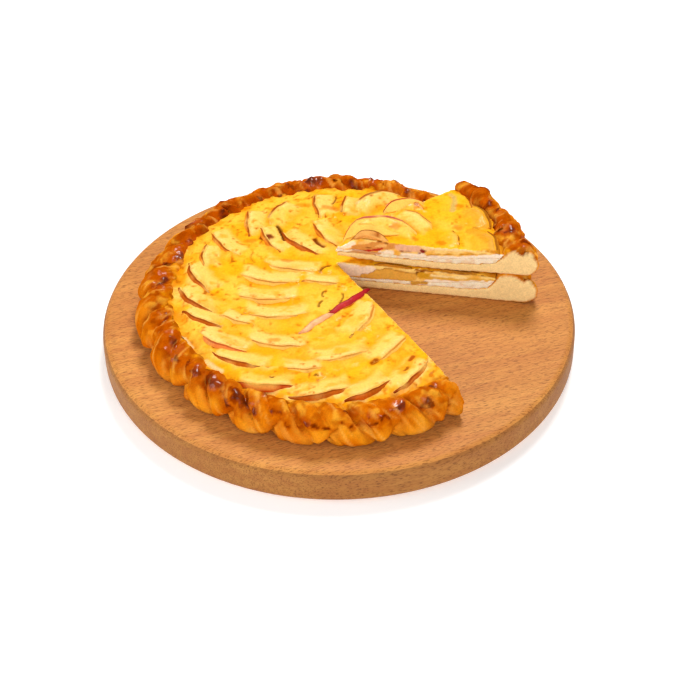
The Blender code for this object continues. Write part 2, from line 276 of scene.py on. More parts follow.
DOUGH = food_material("baked dough", 1, 0.5, 0.6, through=0.05, depth=1, shine=0.3)
CUSTARD = food_material("baked custard", 1.6, 0.3, 0.5, through=0.12, depth=1.5, shine=0.3)
CURD = food_material("crumbly curd", 0.7, 0.6, 0.7, through=0.2, depth=1.5, shine=0.5)
APPLE = food_material("baked apple", 1.2, 0.15, 0.45, through=0.15, depth=1.5, shine=0.2)
print("materials:", ", ".join(made.name for made in (DOUGH, CUSTARD, CURD, APPLE)))

# %% [markdown]
# Beech shows faint bands and fine pores, short dark dashes. Four layers of noise, each drawn
# out along the grain, darken the plain wood.

# %% Beech
BEECH, GRAIN_ANGLE, EDGE_ANGLE = (213, 145, 70), -17, 40
GRAIN = (
    # scale along and across the grain, dark and light stops, the darker colour, strength
    ((3, 44, 44), (0.35, 0.65), (190, 120, 54), 0.6),
    ((14, 190, 190), (0.42, 0.62), (188, 114, 54), 0.5),
    ((80, 760, 600), (0.5, 0.7), (166, 96, 42), 0.45),
    ((260, 1700, 1300), (0.54, 0.64), (118, 64, 26), 0.65),
)


def beech_material(name, shade):
    made, add, shader = new_material(name)
    place = add("TexCoord")
    below = None
    for scale, (first, last), dark, strength in GRAIN:
        turned, noise = add("Mapping"), add("TexNoise")
        turned.inputs["Rotation"].default_value[2] = radians(GRAIN_ANGLE)
        stretched = add("VectorMath")
        stretched.operation = "MULTIPLY"
        stretched.inputs[1].default_value = scale
        set_sockets(noise, {"Scale": 1})
        spread, mix = add("MapRange"), add("Mix")
        set_sockets(spread, {"From Min": first, "From Max": last, "To Max": strength})
        mix.data_type = "RGBA"
        mix.inputs["A"].default_value = (*(shade * tone(*BEECH)), 1)
        mix.inputs["B"].default_value = (*(shade * tone(*dark)), 1)
        wire(
            made,
            (place, "Object", turned, "Vector"),
            (turned, "Vector", stretched, 0),
            (stretched, 0, noise, "Vector"),
            (noise, "Fac", spread, "Value"),
            (spread, "Result", mix, "Factor"),
        )
        if below:
            wire(made, (below, "Result", mix, "A"))
        below = mix
    wire(made, (below, "Result", shader, "Base Color"))
    set_sockets(shader, {"Roughness": 0.6, "Specular IOR Level": 0.2})
    return made


# %% [markdown]
# The board is a turned disc with rounded edges, so a cylinder with a bevel. Its edge is
# painted darker with a dimmer copy of the wood, as painted shade.

# %% Board
low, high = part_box("board")
radius, thickness = (high.x - low.x) / 2, high.z - low.z
bpy.ops.mesh.primitive_cylinder_add(
    vertices=256, radius=radius, depth=thickness, location=(low + high) / 2
)
board = bpy.context.object
board.name = "beech_board"
bpy.ops.object.transform_apply(location=True)
apply_modifier(board, "BEVEL", width=5.5 * MM, segments=6, limit_method="ANGLE")
bpy.ops.object.shade_smooth_by_angle(angle=radians(EDGE_ANGLE))
board.data.materials.append(beech_material("oiled beech", 1))
# painted shade: the sides and steep edges get the same wood at two thirds of its brightness
board.data.materials.append(beech_material("oiled beech painted shade", 0.66))
for face in board.data.polygons:
    face.material_index = int(abs(face.normal.z) < 0.7)
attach(board, "root")
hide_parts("board")
print("board", round(2 * radius / MM), "mm across and", round(thickness / MM), "mm thick")

# %% [markdown]
# The slice lies on the pie, a little flatter. The same rules as in the solids say where a
# height above the pie's underside ends up in either of them.


# %% Where the pie and the slice lie
BASE, MIDDLE, CUT_X, CUT_Y = 24.3, -1, -1.5, 29
NEAR_CUT, FAR_CUT, SLICE_END = -60.2, -10.7, 33
SLICE_LEVEL, SLICE_FOLD, SLICE_REACH = 46.4, 60, 137
Baking = namedtuple("Baking", "prefix seed wider cuts")
PIE = Baking("pie", 3, 0, (FAR_CUT, NEAR_CUT))
SLICE = Baking("slice", 8, 4, (FAR_CUT, SLICE_END))


def from_cut_point(x, y):
    reach = np.hypot(x - CUT_X, y - CUT_Y)
    return reach, np.degrees(np.arctan2(y - CUT_Y, x - CUT_X))


def slice_underside(x, y):
    reach, bearing = from_cut_point(x, y)
    inner = np.clip(1 - reach / SLICE_FOLD, 0, 1)
    outer = np.clip((reach - SLICE_FOLD) / (SLICE_REACH - SLICE_FOLD), 0, None)
    back = blend(bearing, 0, SLICE_END) * np.clip(reach / SLICE_REACH, 0, 1)
    return SLICE_LEVEL + 3.9 * inner**1.6 + 1.4 * outer**1.5 + 2.2 * back


def flatness(x, y):
    return 0.88 * (0.38 + 0.62 * blend(from_cut_point(x, y)[0], 0, 20))


def level(baking, x, y, height):
    """The height above the table of something this high above the pie's underside."""
    if baking is SLICE:
        return slice_underside(x, y) + height * flatness(x, y)
    reach, bearing = from_cut_point(x, y)
    seat = (np.maximum(FAR_CUT - bearing, bearing - SLICE_END) < 4) | (reach < 8)
    return np.where(seat, np.minimum(BASE + height, slice_underside(x, y) - 0.8), BASE + height)


def height_in(baking, points):
    x, y, z = points.T
    if baking is SLICE:
        return (z - slice_underside(x, y)) / flatness(x, y)
    return z - BASE


def ahead_aside(x, y, bearing):
    """How far a step leads along a bearing and to its left."""
    turn = radians(bearing)
    return x * cos(turn) + y * sin(turn), y * cos(turn) - x * sin(turn)


def cut_faces(baking, points, within=0.7):
    """How far along each cut the points on it lie from the cut point, or -1 elsewhere."""
    found = []
    for bearing in baking.cuts:
        along, aside = ahead_aside(points[:, 0] - CUT_X, points[:, 1] - CUT_Y, bearing)
        found.append(np.where((np.abs(aside) < within) & (along > -1), along, -1))
    return found


def polar(points):
    """Distance and bearing from the middle of the pie."""
    x, y = points[:, 0] - MIDDLE, points[:, 1] - MIDDLE
    return np.hypot(x, y), np.degrees(np.arctan2(y, x)) % 360


# %% [markdown]
# The rim was pleated by hand: each fold of dough leans over the one before it. The folds lie
# on slanted lines round the rim, so every point gets a turn and a step over the rim's section.


# %% The rim's folds
STEPS = (-75, -56.3, -37.9, -13.3, 18.9, 52.1, 80.8, 106, 126, 146)
SECTION_RADIUS, SECTION_HEIGHT, SLANT = 123, 9, 12
PLEAT_RADIUS, KNOB_RADIUS, OVER_SECTION = 126, 124, 62
Rim = namedtuple("Rim", "radius bearing turned step bubbly")


def folds_of(seed):
    """Bearings of the deep notches between the pleats, at the rim's foot."""
    draw = random.Random(seed)
    front = (153, 176, 198, 218, 235.5, 250, 266, 282, 300)
    step = (front[0] + 360 - front[-1]) / 12
    back = [front[-1] + step * (k + 1 + draw.uniform(-0.15, 0.15)) for k in range(11)]
    return np.array([*front, *back])


def over_rim(baking, points):
    """Turn along the slanted folds, step from the foot at 0 to 1 inside, and how bubbly."""
    radius, bearing = polar(points)
    turn = np.radians(bearing)
    outline = 1.6 * np.cos(4 * turn) - 1.6 * np.cos(2 * turn)
    height = height_in(baking, points)
    angle = np.degrees(np.arctan2(height - SECTION_HEIGHT, radius - outline - SECTION_RADIUS))
    angle = np.where(angle < -100, angle + 360, angle)
    step = np.interp(angle, STEPS, np.arange(-1, len(STEPS) - 1) / 7)
    bubbly = blend(np.cos(np.radians(bearing - 88)), -0.2, 0.45) if baking is PIE else 1
    return Rim(radius, bearing, bearing + SLANT * step, step, bubbly)


def beside_fold(turned, folds):
    """Distance round the rim to the nearest fold, in mm, positive past it, and which it is."""
    apart = (turned[:, None] - folds[None, :] + 180) % 360 - 180
    nearest = np.abs(apart).argmin(axis=1)
    return apart[np.arange(len(turned)), nearest] * radians(1) * PLEAT_RADIUS, nearest


print("folds at", folds_of(PIE.seed).round())

# %% [markdown]
# On the shoulder a flap of dough ends in a raised edge with a groove past it, and at the foot
# the dough is tucked in and leaves a notch. At the back of the pie and on the slice the pleats
# have run together into bubbles, so there they are half filled.


# %% Pleats
def crease(distance, raised, sunk):
    """A raised edge past a line and a groove before it, with no jump in between."""
    up = raised * np.exp(-np.clip(distance, 0, None) / 4.5) * blend(distance, -0.6, 1.6)
    down = sunk * np.exp(np.clip(distance, None, 0) / 2.2) * (1 - blend(distance, -0.9, 0.7))
    return up - down


def press_pleats(baking, points, rim):
    """Relief of the pleats in mm, and shares of painted highlight on ridges and painted shade in
    grooves.
    """
    folds, step = folds_of(baking.seed), rim.step
    wander = 1.6 * lumps(points, 17, 4)
    lean = 9 * np.clip(step, 0, 1) ** 1.3
    flap, which = beside_fold(rim.turned + wander, folds)
    tuck, other = beside_fold(rim.bearing + wander - lean, folds)
    draw = random.Random(baking.seed + 60)
    strong = np.array([draw.uniform(0.7, 1.2) for _ in folds])[which]
    faint = np.array([draw.uniform(0.4, 1) for _ in folds])[other]
    over_flap = blend(step, 0.22, 0.5) * (1 - 0.7 * blend(step, 0.75, 0.98))
    over_tuck = 1 - blend(step, 0.4, 0.7)
    relief = over_flap * strong * crease(-flap, 1.5, 1.9)
    relief += over_tuck * faint * crease(tuck, 1.5, 2)
    round_flap = 1 - over_flap * (1 - blend(np.abs(flap), 0, 9))
    round_tuck = 1 - over_tuck * (1 - blend(np.abs(tuck), 0, 9))
    relief += 2.2 * round_flap * round_tuck - 0.9
    fading = 1 - 0.5 * blend(step, 0.2, 0.4) - 0.5 * blend(step, 0.4, 0.8)
    relief -= 4.6 * np.exp(-((tuck / 4.2) ** 2)) * fading
    fill, wide = (4.2, 3.6) if baking is PIE else (5.4, 4.8)
    filled = fill * rim.bubbly * np.exp(-((flap / wide) ** 2))
    relief = relief * (1 - 0.6 * rim.bubbly) + filled
    ridge_highlight = strong * 0.8 * over_flap * np.exp(-np.abs(flap + 1.8) / 1.6) * (flap < 0)
    ridge_highlight = np.maximum(ridge_highlight, faint * over_tuck * np.exp(-np.abs(tuck - 1.8) / 1.8) * (tuck > 0))
    groove_shade = np.maximum(
        0.75 * strong * over_flap * np.exp(-flap / 1.6) * (flap >= 0),
        faint * over_tuck * np.exp(tuck / 1.6) * (tuck <= 0),
    )
    return relief, ridge_highlight, groove_shade


# %% [markdown]
# The dough is browned most on its knobs along the shoulder. Those that show in front are
# placed one by one, as bearing, step and width. At the back there is one every few degrees.

# %% Knobs
FRONT_KNOBS = (
    (161, 0.93, 5), (172, 0.97, 9), (175, 0.82, 6), (187, 0.90, 7), (206, 0.89, 5),
    (217, 0.83, 7), (223, 0.64, 6), (228, 0.75, 5), (232, 0.66, 6), (239, 0.72, 9),
    (244, 0.55, 5), (249, 0.67, 8), (253, 0.56, 5), (258, 0.91, 5), (260, 0.64, 4),
    (263, 0.53, 3), (269, 0.56, 5), (272, 0.50, 3), (281, 0.75, 5), (280, 0.54, 3),
    (288, 0.60, 4), (285, 0.52, 4), (295, 0.66, 5), (302, 0.59, 5), (310, 0.83, 5),
)  # fmt: skip


def knobs_of(baking):
    draw = random.Random(baking.seed + 40)
    knobs = []
    bearing = 318 if baking is PIE else 330
    while bearing < 515:
        knobs.append((bearing % 360, draw.uniform(0.5, 1.02), draw.uniform(4, 8)))
        bearing += draw.uniform(3, 7)
    return [*FRONT_KNOBS, *knobs] if baking is PIE else knobs


def press_knobs(baking, points, rim):
    """How much of a knob, and of the browned halo round it, each point has, from 0 to 1."""
    knob, halo = np.zeros(len(points)), np.zeros(len(points))
    warp_round = 4.2 * lumps(points, 5.5, 6) + 2 * lumps(points, 2.4, 7)
    warp_over = 4.2 * lumps(points, 5.5, 16) + 2 * lumps(points, 2.4, 17)
    for bearing, step, width in knobs_of(baking):
        apart = (rim.turned - bearing + 180) % 360 - 180
        around = apart * radians(1) * KNOB_RADIUS + warp_round
        away = np.hypot(around, (rim.step - step) * OVER_SECTION + warp_over)
        spread = 2.4 if 135 < bearing < 245 else 1.9
        knob = np.maximum(knob, 1 - blend(away, 0.25 * width, 0.95 * width))
        halo = np.maximum(halo, 1 - blend(away, 0.6 * width, spread * width))
    return knob, halo


print(len(knobs_of(PIE)), "knobs on the pie,", len(knobs_of(SLICE)), "on the slice")

# %% [markdown]
# Baked dough isn't one brown: its foot stays pale, its shoulder was brushed with egg, and its
# knobs are nearly burnt. Each of these is a colour laid over those before it, with a share
# for every point. Some of the layers are painted light: highlights on the folds' ridges,
# shade in their grooves and low by the table, and part of the shoulder's brown on the left.


# %% Colours of the crust
def strands(rim, width, over, seed):
    """Noise drawn out along the folds, as in dough that was stretched."""
    place = np.column_stack([rim.turned * 2.2 / width, rim.step * over, rim.step * 0])
    return lumps(place, 1, seed)


def crust_colours(baking, points, rim, ridge_highlight, groove_shade, knob, halo, blisters):
    """The crust's colours, and how wet its egg wash looks."""
    step, bubbly, noise = rim.step, rim.bubbly, partial(lumps, points)
    tints = mixed(tone(236, 144, 22), tone(216, 110, 2), blend(noise(12, 5), -0.5, 0.6))
    foot = 1 - blend(step + 0.1 * noise(8, 7), 0.05, 0.5)
    bare = blend(noise(14, 66), -0.4, 0.5)
    # painted contact shadow: the lowest few mm of the rim's outside, next to the table
    low = np.exp(-(height_in(baking, points) / 3.2)) * (step < 0.3)
    # browner toward the pie's left: partly oven browning, partly painted shade on that side
    browner_on_left = blend(np.cos(np.radians(rim.bearing - 150)), -0.1, 0.9) if baking is PIE else 0.9
    shoulder = blend(step + 0.14 * noise(6, 8), 0.4, 0.75)
    brushed = blend(noise(8, 61) + 0.5 * noise(3, 62), -0.2, 0.7)
    pale = blend(noise(5, 18) + 0.5 * noise(2.5, 19), 0.1, 0.7) * shoulder
    inside = blend(step + 0.14 * noise(5, 12), 0.92, 1.12)
    burnt = 0.5 * blisters + noise(4.5, 10) + 0.4 * noise(2, 71)
    burnt = blend(burnt, 0.3, 0.75) * shoulder
    fibres = strands(rim, 2.4, 5, 64) + 0.7 * strands(rim, 1.2, 8, 65)
    tints = layered(
        tints,
        ((244, 170, 58), 0.7 * foot * bare),
        # painted contact shadow, dark brown at the foot
        ((84, 30, 0), 0.85 * low),
        # painted highlight on the folds' raised edges, then painted shade in their grooves
        ((250, 182, 66), 0.5 * ridge_highlight * (1 - blend(step, 0.7, 0.95))),
        ((112, 38, 0), 0.85 * groove_shade * (1 - 0.7 * bubbly)),
        ((192, 84, 0), 0.75 * shoulder * brushed * (1 - 0.4 * bubbly)),
        ((176, 72, 0), shoulder * (0.2 + 0.6 * browner_on_left)),
        ((248, 180, 54), 0.6 * pale),
        ((244, 164, 14), 0.8 * inside),
        ((150, 58, 0), 0.8 * burnt * (0.6 + 0.4 * browner_on_left)),
        ((184, 76, 0), 0.75 * blend(halo + 0.35 * noise(4, 63), 0.1, 0.8)),
        ((136, 46, 0), 0.9 * blend(knob + 0.35 * noise(2.2, 70), 0.2, 0.6)),
        ((78, 22, 0), 0.75 * blend(knob + 0.3 * noise(2, 20), 0.7, 1.1)),
        ((250, 184, 80), 0.45 * blend(fibres, 0.2, 1) * (1 - 0.6 * knob)),
        ((176, 76, 0), 0.45 * blend(-fibres, 0.2, 1)),
    )
    wet = np.clip(0.2 + 0.5 * knob + 0.4 * halo * brushed + 0.3 * brushed, 0, 1)
    return tints, wet * (0.4 + 0.6 * shoulder)


# %% [markdown]
# Where the knife went through the dough the crumb shows: cream and porous, with a thin brown
# skin round it. A tree of the skin's points quickly finds how far a point of the cut is in.


# %% Crumb
def bare_crumb(baking, points, rim, cut, tints):
    outside = points[~cut]
    skin = KDTree(len(outside))
    for number, place in enumerate(outside):
        skin.insert(place, number)
    skin.balance()
    crumb, browned_skin, under_skin = tone(252, 218, 152), tone(214, 128, 44), tone(122, 70, 28)
    for number in np.nonzero(cut)[0]:
        _, nearest, away = skin.find(points[number])
        underneath = height_in(baking, outside[nearest][None])[0] < 1
        browned = rim.step[number] > -0.2 and rim.radius[number] > 112
        share = 1 - blend(np.array([away]), 0.5, 2 if browned else 0.9)[0]
        dark = browned_skin if browned else under_skin if underneath else crumb
        tints[number] = crumb * (1 - share) + dark * share
    tints[cut] *= 0.95 + 0.07 * lumps(points[cut], 1.5, 14)[:, None]


# %% [markdown]
# The crust is pressed along its own outward direction: pleats, knobs, blisters and fine
# grains. The cuts and the underside stay where they are, and the pie's foot is drawn in a
# little, as dough does when it bakes.


# %% Crust
def bake_crust(baking, name):
    node = f"{baking.prefix}_crust"
    piece, points, normals = remeshed(name, [node], face=1.2, rounds=4)
    cut = np.maximum.reduce(cut_faces(baking, points)) >= 0
    rim = over_rim(baking, points)
    step, bubbly, noise = rim.step, rim.bubbly, partial(lumps, points)
    relief, ridge_highlight, groove_shade = press_pleats(baking, points, rim)
    knob, halo = press_knobs(baking, points, rim)
    if baking is SLICE:
        relief += 1.8 * blend(rim.bearing, 18, 30) * (rim.bearing < 90)
    blisters = 1 - 2 * np.abs(noise(6, 2))
    relief += 1.2 * knob + 0.5 * noise(9, 1)
    relief += blend(step, 0.4, 0.7) * (0.8 * blisters + 0.7 * noise(3.2, 3))
    grains = 0.8 - 2 * np.abs(noise(4.6, 13)) + 0.5 * noise(2.2, 15)
    relief += 0.9 * bubbly * blend(step, 0.1, 0.3) * grains
    relief += 0.3 * strands(rim, 2.4, 5, 64) * blend(step, 0.05, 0.2)
    on_rim = blend(rim.radius, 108, 114) * blend(step, -0.1, 0.08)
    on_rim *= 1 - blend(step, 1.05, 1.2)
    lowest = points[:, 2] - normals[:, 2] < (BASE if baking is PIE else 0)
    move = np.where(cut | lowest, 0, on_rim * relief)
    move += np.where(cut, 0.25 * noise(1.6, 9), 0)
    points += normals * move[:, None]
    if baking is PIE:
        tucked = np.clip(1 - (points[:, 2] - BASE) / 4.5, 0, 1) ** 1.5
        tucked = tucked * (step < 0.4) * ~cut
        drawn_in = 4 * tucked * blend(rim.radius, 115, 124) / 128
        points[:, :2] *= (1 - drawn_in)[:, None]
        points[:, 2] = np.maximum(points[:, 2], BASE - 0.2)
    move_points(piece, points)
    apply_modifier(piece, "SMOOTH", factor=0.4, iterations=1)

    points = points_of(piece)
    tints, wet = crust_colours(baking, points, rim, ridge_highlight, groove_shade, knob, halo, blisters)
    bare_crumb(baking, points, rim, cut, tints)
    paint(piece, "tint", tints)
    paint(piece, "gloss", np.where(cut, 0, wet * (1 if baking is PIE else 0.8)))
    show(piece, DOUGH, "baked_dough", node)


bake_crust(PIE, "rim_and_base")
bake_crust(SLICE, "slice_rim_and_base")

# %% [markdown]
# The apple slices are half-moons with the peel on, laid like roof tiles with the peel's edge
# up. Each is listed by where its peel's middle lies, which way it faces, its length, its
# slope, its depth and, after its tone, any special radius, rise or arch.

# %% Where the apple slices lie
USUAL = (35, 0, 0)
Spot = namedtuple("Spot", "x y facing length tilt width tone radius rise arch", defaults=USUAL)
PIE_APPLES = [Spot(*row) for row in (
    (-64, 76, 182, 32, 24, 12, "thin"), (-82, 49, 214, 38, 22, 13, "thin"),
    (-93, 38, 178, 26, 28, 9, "thin"), (-98, 12, 206, 38, 24, 12, "brown"),
    (-98, -15, 222, 42, 23, 14, "brown"), (-92, -34, 236, 32, 23, 11, "brown"),
    (-79, -60, 237, 48, 21, 14, "pink"), (-65, -79, 247, 46, 22, 11, "brown"),
    (-47, -102, 263, 48, 28, 10, "red"), (-9, -110.5, 285, 48, 26, 12, "brown"),
    (21, -108, 302, 38, 26, 11, "brown"), (49, -94, 324, 40, 24, 12, "brown"),
    (-27, 45, 228, 46, 20, 17, "brown"), (-50, 54, 205, 34, 21, 11, "thin"),
    (-34, 18, 254, 50, 20, 11, "tan"), (-49, 5, 254, 52, 19, 14, "tan"),
    (-48, -15, 265, 52, 18, 14, "tan"), (-41, -34, 268, 56, 18, 15, "tan"),
    (-68, -36, 243, 26, 20, 8, "tan"), (-42, -63, 258, 46, 18, 12, "tan"),
    (-24, -87, 270, 30, 23, 9, "tan"), (21, -35, 338, 42, 23, 13, "pale"),
    (4, -76, 288, 48, 19, 16, "pale"), (-12, 3, 262, 26, 20, 8, "tan"),
    (36, -68, 322, 38, 22, 13, "pale"), (-14.5, -37.5, 314, 32, 70, 7, "flesh", 90),
    (-16, 95, 184, 30, 24, 12, "thin"), (4, 95, 168, 24, 23, 10, "thin"),
    (24, 107, 121, 42, 21, 14, "thin", 24), (-13, 60, 208, 36, 19, 12, "thin"),
    (-44, 90, 150, 30, 22, 12, "thin"), (38, 21, 259, 46, 64, 12, "amber"),
    (82, 13, 259, 44, 50, 10, "amber"), (7, -17, 314, 42, 66, 7, "magenta", 90, 0.6),
)]  # fmt: skip
SLICE_APPLES = [Spot(*row) for row in (
    (29, 46.5, 90, 50, 12, 17, "pinkline", 29, 2.2), (44, 68, 110, 30, 24, 9, "pinkline", 19, 1.5),
    (57, 51, 48, 30, 20, 9, "pale"), (102, 50, 20, 26, 24, 10, "golden"),
    (107, 18, 8, 30, 24, 11, "golden"), (82, 26, 12, 30, 20, 10, "golden", 35, -2.4),
    (22, 30, 79, 28, 28, 6, "curled", 30, -1, 4), (59, 21, 349, 21, 7, 17, "pinkband", 35, -3.7),
)]  # fmt: skip
APPLE_HEIGHT, PEEL_THICK, CORE_THICK = 21.4, 2.1, 0.9
# peel, its darker upper line and ends, flesh
TONES = {
    "thin": ((230, 136, 36), (150, 64, 10), (250, 201, 100)),
    "brown": ((196, 98, 22), (136, 52, 6), (250, 201, 100)),
    "red": ((196, 74, 14), (124, 34, 4), (250, 196, 88)),
    "pink": ((236, 136, 64), (174, 60, 22), (250, 203, 108)),
    "tan": ((254, 198, 92), (176, 90, 18), (250, 202, 106)),
    "pale": ((254, 198, 92), (190, 108, 28), (250, 202, 102)),
    "flesh": ((240, 180, 128), (206, 130, 84), (246, 192, 138)),
    "amber": ((190, 124, 36), (116, 62, 14), (224, 160, 56)),
    "magenta": ((178, 36, 42), (122, 18, 28), (222, 108, 92)),
    "pinkline": ((206, 84, 60), (170, 50, 28), (250, 196, 88)),
    "golden": ((196, 122, 26), (146, 80, 14), (240, 168, 44)),
    "curled": ((190, 108, 40), (140, 74, 26), (240, 172, 90)),
    "pinkband": ((176, 54, 48), (120, 26, 24), (240, 190, 144)),
}
BARE = ("flesh", "amber", "magenta", "curled", "pinkband")


def wobble(spot, along):
    """Real slices aren't quite even: small waves along the peel's edge."""
    return 0.45 * np.sin(along / 4.3 + spot.x) + 0.3 * np.sin(along / 2.1 + spot.y)


def half_moon(spot, along):
    """Share of the way to either end, how full the slice is there, and its peel's curve."""
    half = spot.length / 2
    share = np.clip(along / half, -1, 1)
    skin = np.sqrt(spot.radius**2 - np.clip(np.abs(along), 0, half) ** 2) - spot.radius
    return share, 0.3 + 0.7 * np.sqrt(1 - share * share), skin


def edge_of(spot, along):
    """How far out and how high the peel's upper edge lies at a distance along the slice."""
    share, fullness, skin = half_moon(spot, along)
    tilt = radians(spot.tilt)
    outward = skin * cos(tilt) - PEEL_THICK * fullness * sin(tilt)
    height = APPLE_HEIGHT + spot.rise + skin * sin(tilt)
    height += PEEL_THICK * fullness * cos(tilt)
    return outward + wobble(spot, along), height + spot.arch * (1 - share * share)


# %% [markdown]
# The custard set round the apples. Seen from above each slice is a pale lens behind a dark
# line, its peel's edge. So every point first learns how far behind that edge it lies, how
# far along it, and how proud the edge stands.


# %% Beside a slice
SKIN, LIP, LOWEST_SKIN = 20.4, 18.7, 17
Beside = namedtuple("Beside", "behind share near edge proud")


def beside_slice(spot, x, y):
    outward, along = ahead_aside(x - spot.x, y - spot.y, spot.facing)
    share = along / (spot.length / 2)
    edge_out, edge = edge_of(spot, along)
    near = (np.abs(share) < 1.4) & (np.abs(outward) < 30)
    return Beside(edge_out - outward, share, near, edge, edge - SKIN)


def lip_at(baking, bearing):
    """How far out the filling meets the rim."""
    turn = np.radians(bearing)
    back = 5 * blend(np.sin(turn), 0.1, 0.5)
    return 112.8 - 4.2 * np.cos(2 * turn) + back + baking.wider


# %% [markdown]
# Behind its edge a slice shines through a film of custard, which slopes down to the skin and
# a shallow valley. In front of most peels the custard is banked up, and dips at the others.


# %% Film and bank
BANKS = {"red": 0.4, "brown": 1.3, "pink": 1.5, "thin": 1.6, "tan": 1.8, "pale": 1.8}
DIP = -0.2


def lay_film(spot, by, fine, top, tints):
    """The film over a slice and its pale lens, with painted highlight and painted shade."""
    _, line, flesh = TONES[spot.tone]
    behind, ends = by.behind, np.abs(by.share)
    reach = max(7, min(15, spot.width + 3))
    inside = by.near & (ends < 1)
    film = by.edge + 0.35 - 0.9 * (1 - blend(behind, 0.6, 2.6))
    film -= np.clip(by.proud, 0, None) * np.clip(behind / reach, 0, 1.3) ** 1.2
    film += 0.6 * fine - 1.2 * blend(ends, 0.75, 1)
    covered = inside & (behind > 0.8) & (by.proud > 0) & (behind < reach * 1.3)
    top = np.where(covered, np.maximum(top, film), top)

    uneven = behind + 3 * fine
    lens = blend(behind, 0, 0.6) * (1 - blend(uneven, reach * 0.6, reach * 1.1))
    lens *= 1 - blend(ends + 0.3 * fine, 0.65, 1)
    lens = np.where(inside, lens * blend(by.proud, -0.2, 1.2), 0)
    valley = blend(uneven, reach * 0.65, reach) * (1 - blend(behind, reach, reach * 1.5))
    valley *= by.near * (1 - blend(ends, 0.5, 1))
    top -= 0.5 * valley * covered
    edge = np.where(inside & (by.proud > -0.3), 1 - blend(np.abs(behind - 0.4), 0.4, 1), 0)
    return top, layered(
        tints,
        # painted shade in the valley behind the lens
        ((236, 154, 14), 0.6 * valley),
        (flesh, 0.85 * lens),
        # painted highlight: the lens paler just behind its front edge, so that it looks raised
        ((254, 214, 130), 0.5 * lens * (1 - blend(behind, 1, 6))),
        (line, 0.3 * edge),
    )


def bank_custard(spot, by, ring, flat, fine, height, top, tints):
    """What the custard does in front of a peel's edge: a bank or a dip, shade or a pale apron."""
    ends = 1 - blend(np.abs(by.share), 0.85, 1.2)
    ahead = -by.behind
    bank = BANKS.get(spot.tone, DIP)
    rise = bank * np.exp(-np.clip(ahead - 1.2, 0, None) / 4) * ends
    rise *= blend(by.proud, -1, 1.5)
    cover = 0 if ring else 0.7 * np.clip(lumps(flat, 6, 9), -0.3, 1) * ends
    banked = height + rise + cover
    dipped = np.minimum(top, np.maximum(banked, LOWEST_SKIN))
    shaped = np.maximum(top, banked) if bank > 0 else dipped
    top = np.where(by.near & (ahead > -0.8) & (ahead < 9), shaped, top)
    if ring:
        apron = (1 - blend(ahead + 4 * fine, 2, 6)) * ends * (ahead > 0) * by.near
        return top, layered(tints, ((252, 214, 126), (0.8 if spot.y < -90 else 0.4) * apron))
    shade = np.exp(-np.clip(ahead, 0, None) / 2.2) * ends * (ahead > 0.3) * by.near
    return top, layered(tints, ((218, 134, 22), 0.75 * shade * blend(by.proud, -0.5, 1)))


# %% [markdown]
# The whole top is worked out point by point: a nearly flat skin with small blisters that
# sinks to the lip at the rim, and then the slices laid into it one after the other.


# %% The custard's top
def custard_top(baking, points, spots):
    """Heights above the pie's underside, the colours, and how warm the skin's yellow is."""
    x, y, _ = points.T
    flat = np.column_stack([x, y, np.zeros(len(x))])
    radius, bearing = polar(points)
    noise = partial(lumps, flat)
    lip = lip_at(baking, bearing)
    fine = 0.42 * noise(5, 3) + 0.27 * noise(2.6, 4) + 0.14 * noise(1.5, 5)
    height = SKIN + 0.5 * noise(24, 1) + 0.4 * noise(10, 2) + fine
    height += (LIP - SKIN) * blend(radius, lip - 9, lip - 1)
    warm = blend(noise(19, 21) + 0.6 * noise(7, 22), -0.7, 0.6)
    warmer = np.clip(warm + 0.35 * blend(y, 20, 90), 0, 1)
    tints = mixed(tone(250, 193, 66), tone(248, 177, 26), warmer)
    # painted shade: darker orange in the skin's small hollows, where its fine relief is low
    tints = layered(tints, ((238, 154, 24), 0.5 * blend(-fine, 0.12, 0.5)))
    top = height.copy()
    for spot in spots:
        by = beside_slice(spot, x, y)
        ring = hypot(spot.x, spot.y) > 92 and spot.tone in ("red", "brown") and baking is PIE
        if spot.tone not in BARE:
            top, tints = lay_film(spot, by, fine, top, tints)
        top, tints = bank_custard(spot, by, ring, flat, fine, height, top, tints)
    return top, tints, warm


# %% [markdown]
# Small marks in the skin are listed as a short bow through three places in plan, a width, a
# depth, a colour and a share: slits over an apple's edge, holes, pale patches, toasted spots.

